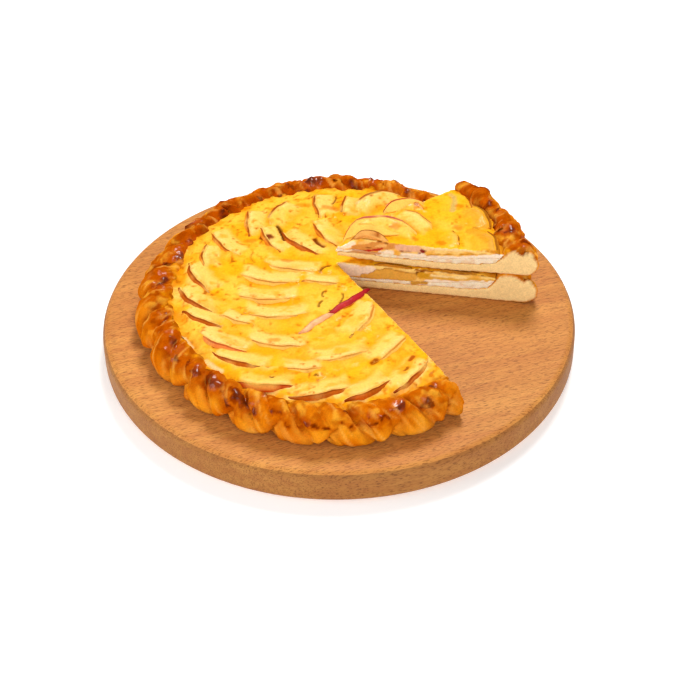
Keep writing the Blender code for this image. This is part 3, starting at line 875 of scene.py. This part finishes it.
# %% Marks in the skin
Mark = namedtuple("Mark", "x0 y0 x1 y1 x2 y2 width depth colour share", defaults=(0.85,))
SLIT, TOAST = (112, 52, 8), (214, 112, 8)
PIE_MARKS = (
    (-17, 106, -15.7, 97, -14, 84, 0.7, 0.5, SLIT), (-0.3, 106, -1, 101, -3, 97, 0.6, 0.4, SLIT),
    (-42, 72, -39, 64, -37, 55, 1.5, 1.2, (84, 24, 0), 0.95),
    (-15.5, 54.6, -14, 50, -10, 46, 1.8, 0.8, (112, 34, 0), 0.95),
    (3, -6, 3, -11, 1, -16, 0.6, 0.6, SLIT), (-11, -14, -12.6, -16, -13, -20, 0.7, 0.6, SLIT),
    (-8, -4, -10.6, -6, -10, -10, 0.6, 0.5, SLIT), (-5, 25, -10, 23, -12, 18, 0.8, 0.6, SLIT),
    (-6, -24, -4.6, -26, -5, -28, 0.6, 0.5, SLIT),
    (-59, 40, -59.5, 35, -57, 30, 0.7, 0.2, (150, 78, 10), 0.5),
    (-51.5, 57.5, -49.5, 56.5, -47, 56, 3.2, 0.2, (120, 30, 0), 0.95),
    (-101, -50, -99, -53, -96, -57, 1.8, 0, (254, 226, 168), 0.6),
    (-86, -72, -82, -77, -76, -83, 1.8, 0, (254, 230, 182), 0.6),
    (-60, -105, -56, -108, -48, -110, 1.4, 0, (254, 226, 170), 0.3),
    (20, -79, 22, -79, 24, -78, 4, 0, (246, 164, 16), 0.8),
    (21, -79, 22, -79, 23, -78, 2, 0.2, (150, 56, 0), 0.9),
    (40, -90, 43, -83, 48, -74, 3.4, 0, (244, 156, 14), 0.8),
    (45, -78, 46, -76, 47, -74, 1.6, 0.2, (166, 66, 0), 0.9),
    (41, -89, 42, -88, 43, -86, 1, 0.2, (150, 66, 6)),
    (29, -31, 30, -31, 31, -30, 2.6, 0, (240, 150, 20), 0.7),
    (-9, -47, -7, -46, -5, -46, 3.4, 0, (242, 156, 16), 0.7),
    (-1, -69, 1, -69, 3, -68, 3.4, 0, (246, 168, 20), 0.7),
    (7, -52, 8, -51, 9, -50, 0.8, 0.6, (90, 40, 8)),
    (13, -47, 14.5, -46, 16, -44, 0.6, 0.5, (110, 52, 8)),
    (-44, -92, -43, -93, -42, -92, 0.7, 0.5, SLIT), (-16, -91, -15, -90, -14, -91, 0.7, 0.5, SLIT),
    (-62, 55.5, -60, 55.2, -58, 55, 2.6, 0, (208, 104, 0), 0.6),
    (-92, 84, -87.6, 81, -84, 78, 4.6, 0, (238, 144, 10), 0.75),
    (-73, 97, -69, 98.7, -63, 99, 3.8, 0, (232, 132, 8), 0.75),
    (-37, 31, -34.7, 30, -32.5, 29.5, 2.4, 0, (206, 104, 0), 0.6),
    (-8, 92, -4.7, 91, -1, 90, 2.6, 0, (204, 104, 0), 0.6),
    (-27, 97, -24, 96.4, -21, 96, 2.4, 0, (216, 116, 0), 0.6),
    (-44, -57, -42.3, -57, -40, -56.5, 2.2, 0, (222, 124, 0), 0.6),
)  # fmt: skip
SLICE_MARKS = (
    (45.5, 66, 48, 64.5, 50, 63, 1.4, 0, (252, 220, 190)),
    (48, 68.5, 48.8, 68.7, 49.5, 68.5, 0.8, 0.2, (170, 60, 30)),
    (92, 58, 98, 50, 100, 41, 6, 0.2, (214, 150, 40), 0.5),
    (91, 34, 99, 27, 104, 14, 4, 0.2, (206, 134, 30), 0.6),
    (92.7, 38, 98, 34.5, 103, 30, 0.4, 0.1, (150, 84, 14), 0.6),
    (80, 76, 82, 70, 80, 58, 1.8, 0.7, (190, 166, 100), 0.7),
    (88, 84, 100, 63, 110.4, 38, 0.5, 0.4, (176, 96, 14), 0.7),
    (69, 22, 70, 22, 71, 21.5, 2.6, 0, TOAST, 0.7),
    (82, 39, 82.5, 38.5, 83, 38, 2.4, 0, TOAST, 0.6),
    (40, 38, 40.5, 37.7, 41, 37.5, 2.6, 0, TOAST, 0.6),
    (52, 27, 52.7, 26.6, 53.4, 26.2, 2, 0, TOAST, 0.7),
    (84, 63, 85, 63, 86, 62.5, 2, 0, TOAST, 0.7),
)  # fmt: skip


def beside_mark(mark, x, y):
    """Distance in plan from a mark's bow."""
    start, middle, end = np.array(mark[:6]).reshape(3, 2)
    pull = 2 * middle - (start + end) / 2
    share = np.linspace(0, 1, 9)[:, None]
    bow = (1 - share) ** 2 * start + 2 * share * (1 - share) * pull + share**2 * end
    away = np.full(len(x), 99)
    for first, last in zip(bow, bow[1:]):
        step = last - first
        part = ((x - first[0]) * step[0] + (y - first[1]) * step[1]) / (step @ step)
        part = np.clip(part, 0, 1)
        gap = np.hypot(x - first[0] - part * step[0], y - first[1] - part * step[1])
        away = np.minimum(away, gap)
    return away


def press_marks(points, tints, marks, on_top):
    """Colours the marks and presses them into the skin."""
    for mark in (Mark(*row) for row in marks):
        away = beside_mark(mark, points[:, 0], points[:, 1])
        away += 0.3 * mark.width * lumps(points, 3, 35)
        on = (1 - blend(away, 0.5 * mark.width, 1.3 * mark.width + 0.3)) * on_top
        tints = layered(tints, (mark.colour, mark.share * on))
        points[:, 2] -= mark.depth * on
    return tints


print(len(PIE_MARKS), "marks on the pie,", len(SLICE_MARKS), "on the slice")

# %% [markdown]
# The oven toasted the skin in patches, spots and freckles and browned it along the rim. There
# the custard also crept a little way up over the rim's shoulder, further in some places.


# %% Toasting and spilling
def toasted(points, tints, radius, lip):
    noise = partial(lumps, points)
    spots = noise(6.5, 23) + 0.6 * noise(2.6, 24)
    patches = noise(13, 36) + 0.4 * noise(5, 37)
    freckles = noise(2.8, 67) + 0.5 * noise(1.4, 68)
    backward = blend(points[:, 1] - points[:, 0], 0, 120)
    hotter = blend(noise(17, 69) + 0.5 * backward, -0.4, 0.4)
    reach = radius + 4 * noise(7, 25) + 2 * noise(3, 30)
    rim = blend(reach, lip - 6, lip + 3)
    return layered(
        tints,
        ((250, 180, 24), 0.5 * blend(patches, 0.2, 0.8)),
        ((244, 160, 14), 0.6 * blend(spots, 0.3, 0.9)),
        ((190, 92, 8), 0.75 * blend(spots + 0.4 * noise(1.8, 34), 1.05, 1.4)),
        ((222, 122, 10), 0.7 * blend(freckles, 0.35, 0.75) * hotter),
        ((160, 78, 8), 0.7 * blend(freckles, 0.8, 1.05) * hotter),
        ((226, 130, 4), 0.8 * rim),
        ((160, 66, 0), 0.7 * rim * blend(noise(4, 33), 0, 0.6)),
    )


def spill(baking, points, on_top):
    """Moves the skin's outer edge up over the rim's shoulder."""
    radius, bearing = polar(points)
    lip = lip_at(baking, bearing)
    turn = np.radians(bearing)
    share = np.clip((radius - lip + 6) / 6, 0, 1) * on_top
    spread = 2 + 3.2 * lumps(points, 8, 27) + 1.2 * lumps(points, 3.5, 28)
    spread += 1.6 * blend(np.cos(np.radians(bearing - 150)), -0.2, 0.8) - 0.8
    reach = radius + np.clip(spread, -0.5, 6) * share
    shoulder = np.interp(reach - lip, (-1, 0, 2.2, 6.6), (LIP, 18.9, 20.7, 22.3))
    over = (reach > lip - 0.5) & (share > 0)
    points[:, 0] = np.where(over, reach * np.cos(turn) + MIDDLE, points[:, 0])
    points[:, 1] = np.where(over, reach * np.sin(turn) + MIDDLE, points[:, 1])
    height = shoulder + 0.35 * lumps(points, 3, 29)
    points[:, 2] = np.where(over, level(baking, points[:, 0], points[:, 1], height), points[:, 2])
    return radius, lip


# %% [markdown]
# The filling joins the custard with its apples, so that the skin runs over them. On the cuts
# it shows what the knife went through: white curd, amber apple, cream custard.


# %% Filling
def with_patches(fill, along, z, rough, patches):
    """Colours on a cut: each patch is a line along the cut with a radius at both ends."""
    for s0, z0, s1, z1, r0, r1, colour in patches:
        length = (s1 - s0) ** 2 + (z1 - z0) ** 2
        share = np.clip(((along - s0) * (s1 - s0) + (z - z0) * (z1 - z0)) / length, 0, 1)
        away = np.hypot(along - s0 - share * (s1 - s0), z - z0 - share * (z1 - z0))
        away += rough - r0 - share * (r1 - r0)
        fill = mixed(fill, tone(*colour), 1 - blend(away, -0.4, 0.4))
    return fill


def bake_custard(baking, name, spots, faces, marks):
    node = f"{baking.prefix}_custard"
    slices = "apple_" if baking is PIE else "slice_apple_"
    under = [n for n in frame["nodes"] if n.startswith(slices) and n != "apple_red"]
    piece, points, normals = remeshed(name, [node, *under], face=0.95, swell=0.2, rounds=1)
    cuts = cut_faces(baking, points)
    cut = (np.maximum.reduce(cuts) >= 0) & (normals[:, 2] < 0.8)
    top, tints, warm = custard_top(baking, points, spots)
    on_top = (normals[:, 2] > 0.25) & (height_in(baking, points) > 15.5) & ~cut
    ceiling = level(baking, points[:, 0], points[:, 1], top)
    points[:, 2] = np.where(on_top, ceiling, np.minimum(points[:, 2], ceiling))
    radius, lip = spill(baking, points, on_top)
    tints = toasted(points, tints, radius, lip)
    tints = press_marks(points, tints, marks, on_top)
    rough = lumps(points, 2.5, 31)
    fill = blend(lumps(points, 6, 32), -0.4, 0.6)
    fill = mixed(tone(254, 214, 124), tone(240, 176, 66), fill)
    for along, patches in zip(cuts, faces):
        on = cut & (along >= 0)
        tints[on] = with_patches(fill, along, points[:, 2], 0.8 * rough, patches)[on]
    push = np.where(cut, 0.3 * rough, 0)
    points += normals * push[:, None]
    move_points(piece, points)
    paint(piece, "tint", tints)
    paint(piece, "gloss", np.clip(0.2 + 0.5 * lumps(points, 10, 26) + 0.2 * warm, 0, 0.6))
    show(piece, CUSTARD, "custard", node)


# %% [markdown]
# The two cuts that show are painted from lists. A row has the two ends of a patch, as distance
# along the cut and height above the table, a radius for either end, and a colour. Most
# patches are what the knife went through; a few are painted shadow, shade and highlights.

# %% What the cuts show
WHITE, AMBER, TAN = (252, 236, 210), (232, 172, 70), (176, 112, 36)
LOWER_FAR = (
    (3, 38, 24, 40, 5.5, 4, (250, 222, 192)), (20, 34, 36, 38.2, 2.6, 5.9, TAN),
    (36, 38.2, 53, 38, 5.9, 3.4, TAN), (20, 33.6, 36, 37.6, 2.6, 5.6, AMBER),
    (36, 37.6, 53, 37.4, 5.6, 3.2, AMBER), (18, 29.5, 52, 31.6, 0.9, 0.9, WHITE),
    # the first patch on the next line, from 57 to 60 along, is painted shade in a dark gap
    (57, 41.5, 60, 42.5, 1.2, 1, (116, 58, 16)), (59, 40, 66, 40, 2.2, 2, (214, 154, 34)),
    (66, 38, 107, 40, 2.5, 2, (222, 166, 62)), (67, 41, 90, 41.3, 1, 0.9, (250, 220, 150)),
    # the second patch on the next line, from 56 to 113 along, is painted contact shadow of the
    # slice on top
    (64, 34.5, 112, 37.5, 2.5, 3.5, WHITE), (56, 44.4, 113, 45, 0.6, 0.6, (160, 92, 26)),
)  # fmt: skip
UPPER_NEAR = (
    (0, 56, 12, 61, 2.4, 2.4, WHITE), (14, 58, 40, 64, 3, 4, (218, 148, 72)),
    # the two light patches on the next line, from 17 and 28 along, are painted highlights
    (17, 62.4, 22, 64, 1.2, 1.2, (246, 200, 120)), (28, 61, 34, 62.6, 1, 1.3, (244, 190, 110)),
    # the two thin dark lines on the next line, from 20 and 30 along, are painted shade in creases
    (20, 60, 27, 58.6, 0.5, 0.5, (140, 74, 28)), (30, 65.6, 36, 64.2, 0.6, 0.5, (150, 82, 30)),
    (15, 54.5, 32, 59.4, 0.9, 1, (190, 44, 34)), (32, 55.5, 38, 56.5, 2.2, 2.5, WHITE),
    (46, 55, 60, 56, 2.2, 3, WHITE), (64, 56, 88, 57, 1.5, 2.5, WHITE),
    (88, 57, 112, 61, 2.8, 3.4, WHITE), (62.6, 57.7, 105.8, 63.6, 0.5, 0.6, (206, 140, 34)),
    (62, 63.6, 94, 64.6, 2, 0.8, (252, 214, 146)), (96, 66.4, 109, 66.6, 1.4, 2.4, (226, 146, 40)),
    (43.5, 61.6, 58, 61.8, 2.5, 2.6, (236, 184, 146)), (44, 59, 58, 58.8, 0.4, 0.4, (150, 80, 50)),
    (59.4, 61.2, 60.2, 60.6, 1.4, 1.6, (136, 34, 30)), (112, 64, 115, 67.5, 2, 2.2, WHITE),
)  # fmt: skip
bake_custard(PIE, "pie_filling", PIE_APPLES, (LOWER_FAR, ()), PIE_MARKS)
bake_custard(SLICE, "slice_filling", SLICE_APPLES, (UPPER_NEAR, ()), SLICE_MARKS)

# %% [markdown]
# Each apple slice is bent from a subdivided block by the same law as its solid: a cube's
# three directions become along the half-moon, from core to peel, and through its thickness.
# Slices that the knife met are cut by the same plane.


# %% Slices of apple
def bend_slice(name, baking, spot):
    bpy.ops.mesh.primitive_cube_add(size=2)
    piece = bpy.context.object
    piece.name = piece.data.name = name
    with editing():
        bpy.ops.mesh.subdivide(number_cuts=13)
    u, v, w = (points_of(piece) * MM).T
    tilt, facing = radians(spot.tilt), radians(spot.facing)
    along = spot.length / 2 * np.sin(u * pi / 2)
    share, fullness, skin = half_moon(spot, along)
    core = np.minimum(-spot.width * (0.55 + 0.45 * fullness), skin - 1.5)
    inner = (1 - v) / 2
    across = skin + (core - skin) * inner + 0.6 * (1 - w * w) * (v > 0.99)
    thick = fullness * (PEEL_THICK + (CORE_THICK - PEEL_THICK) * inner)
    up = w * thick * np.where(w < 0, 1.5 if spot.tilt < 45 else 1, 1)
    if spot.tone not in BARE:
        across += 0.8 * (1 - inner)
    outward = across * cos(tilt) - up * sin(tilt) + wobble(spot, along)
    height = APPLE_HEIGHT + spot.rise + across * sin(tilt) + up * cos(tilt)
    height += spot.arch * (1 - share * share)
    x = spot.x + outward * cos(facing) - along * sin(facing)
    y = spot.y + outward * sin(facing) + along * cos(facing)
    points = np.column_stack([x, y, level(baking, x, y, height)])
    points += 0.12 * np.column_stack([lumps(points, 3, k) for k in (41, 42, 43)])
    move_points(piece, points)
    peel, ends, flesh = (tone(*colour) for colour in TONES[spot.tone])
    edge = (v > 0.99) | ((w > 0.99) & (inner < 0.08))
    dark = np.maximum(blend(np.abs(share), 0.6, 0.98), blend(w, 0.55, 0.95))
    rind = mixed(peel, ends, 0.85 * dark)
    worn = blend(lumps(points, 6, 46) + 0.4 * lumps(points, 2.5, 47), 0, 0.8)
    rind = mixed(rind, flesh, (0.5 if spot.tone not in BARE else 0.15) * worn)
    rind *= 1 + 0.2 * lumps(points, 2.5, 45)[:, None]
    meat = mixed(flesh, flesh * 0.85, blend(lumps(points, 4, 44), -0.3, 0.6))
    if spot.tone == "curled":
        meat = mixed(meat, tone(176, 92, 30), blend(lumps(points, 5, 48), 0, 0.5))
    tints = np.where(edge[:, None], rind, meat)
    paint(piece, "tint", tints)
    paint(piece, "gloss", np.where(edge, 0.55, 0.3))
    return piece


def cut_by_knife(piece, baking):
    """Cuts away what lies past a cut of the pie or of the slice."""
    for bearing, side in zip(baking.cuts, (-1, 1) if baking is PIE else (-1,)):
        turn = radians(bearing)
        normal = Vector((-sin(turn), cos(turn), 0)) * side
        point = Vector((CUT_X, CUT_Y, 0)) - 0.7 * normal
        apart = points_of(piece) - np.array(point)
        beyond, reach = apart @ np.array(normal), apart @ (cos(turn), sin(turn), 0)
        if beyond.min() < 0 < beyond.max() and reach.mean() > 0:
            select_only(piece)
            with editing():
                bpy.ops.mesh.bisect(
                    plane_co=point * MM, plane_no=normal, use_fill=True, clear_outer=True
                )


def lay_slices(baking, spots, names):
    for spot, node in zip(spots, names):
        piece = bend_slice(f"{node}_baked", baking, spot)
        if spot.tone != "magenta":
            cut_by_knife(piece, baking)
        show(piece, APPLE, "apple", node)
        piece.data.set_sharp_from_angle(angle=radians(50))


lay_slices(PIE, PIE_APPLES, [f"apple_{n:02d}" for n in range(1, 34)] + ["apple_red"])
lay_slices(SLICE, SLICE_APPLES, [f"slice_apple_{n}" for n in range(1, 9)])

# %% [markdown]
# The curd lies between the dough and the custard and shows only where the pie was cut, as a
# white, crumbly layer.


# %% Curd
def lay_curd(baking, name, patches):
    node = f"{baking.prefix}_curd"
    piece, points, normals = remeshed(name, [node], face=0.9, swell=0.45)
    cuts = cut_faces(baking, points, 1.1)
    cut = np.maximum.reduce(cuts) >= 0
    crumbs = 0.5 * lumps(points, 2.6, 51) + 0.3 * lumps(points, 1.3, 52)
    points += normals * np.where(cut, crumbs - 0.2, 0)[:, None]
    move_points(piece, points)
    crumbly = blend(lumps(points, 2.4, 53), -0.2, 0.8)
    tints = mixed(tone(252, 236, 206), tone(246, 216, 176), crumbly)
    on = cuts[0] >= 0
    stained = with_patches(tints, cuts[0], points[:, 2], lumps(points, 2, 54), patches)
    tints[on] = stained[on]
    paint(piece, "tint", tints)
    paint(piece, "gloss", np.full(len(points), 0.3))
    show(piece, CURD, "curd", node)


lay_curd(PIE, "pie_curd_layer", ((54, 33, 62, 35, 2.4, 2.4, (214, 154, 60)),))
lay_curd(SLICE, "slice_curd_layer", ((13, 54, 30, 56, 2, 2.2, (216, 156, 104)),))

# %% [markdown]
# The floor is a plain pale sheet. The key lamp hangs high behind the pie and gives the gentle
# shadows in front of it. A wider lamp in front, one on the left and a dim surround fill them.

# %% Floor, lights and camera
bpy.ops.mesh.primitive_plane_add(size=8, location=(0, 0, -0.0005))
floor = bpy.context.object
floor.name = "floor"
paper, _, shader = new_material("white paper")
set_sockets(shader, {"Base Color": (0.85, 0.85, 0.85, 1), "Roughness": 0.9})
set_sockets(shader, {"Emission Color": (1, 1, 1, 1), "Emission Strength": 0.35})
floor.data.materials.append(paper)

world = bpy.context.scene.world or bpy.data.worlds.new("studio")
bpy.context.scene.world = world
world.use_nodes = True
surround = world.node_tree.nodes["Background"]
set_sockets(surround, {"Color": (1, 1, 1, 1), "Strength": 0.27})


def add_lamp(name, place, size, watts):
    bpy.ops.object.light_add(type="AREA", location=place)
    lamp = bpy.context.object
    lamp.name = name
    lamp.data.size = size
    lamp.data.energy = watts
    lamp.rotation_mode = "QUATERNION"
    lamp.rotation_quaternion = Vector(place).to_track_quat("Z", "Y")


add_lamp("key_lamp", (0.25, 0.95, 1.6), 0.6, 31)
add_lamp("fill_lamp", (0.3, -1.5, 0.9), 1.2, 16)
add_lamp("side_lamp", (-1.4, -0.4, 0.7), 0.9, 10)

tilt, roll = radians(39.37), radians(1.082)
distance, aside, lifted = 1.2157, -0.0011, 0.00108
ahead = Vector((0, cos(tilt), -sin(tilt)))
right, up = Vector((1, 0, 0)), Vector((0, sin(tilt), cos(tilt)))
place = -distance * ahead + aside * right + lifted * up
across = cos(roll) * right - sin(roll) * up
above = sin(roll) * right + cos(roll) * up
bpy.ops.object.camera_add()
camera = bpy.context.object
camera.matrix_world = Matrix((across, above, -ahead)).transposed().to_4x4()
camera.location = place
camera.data.lens = 94.23
camera.data.clip_start, camera.data.clip_end = 0.05, 20
bpy.context.scene.camera = camera
bpy.context.scene.view_settings.view_transform = "Standard"
print("camera at", [round(number, 3) for number in camera.location])
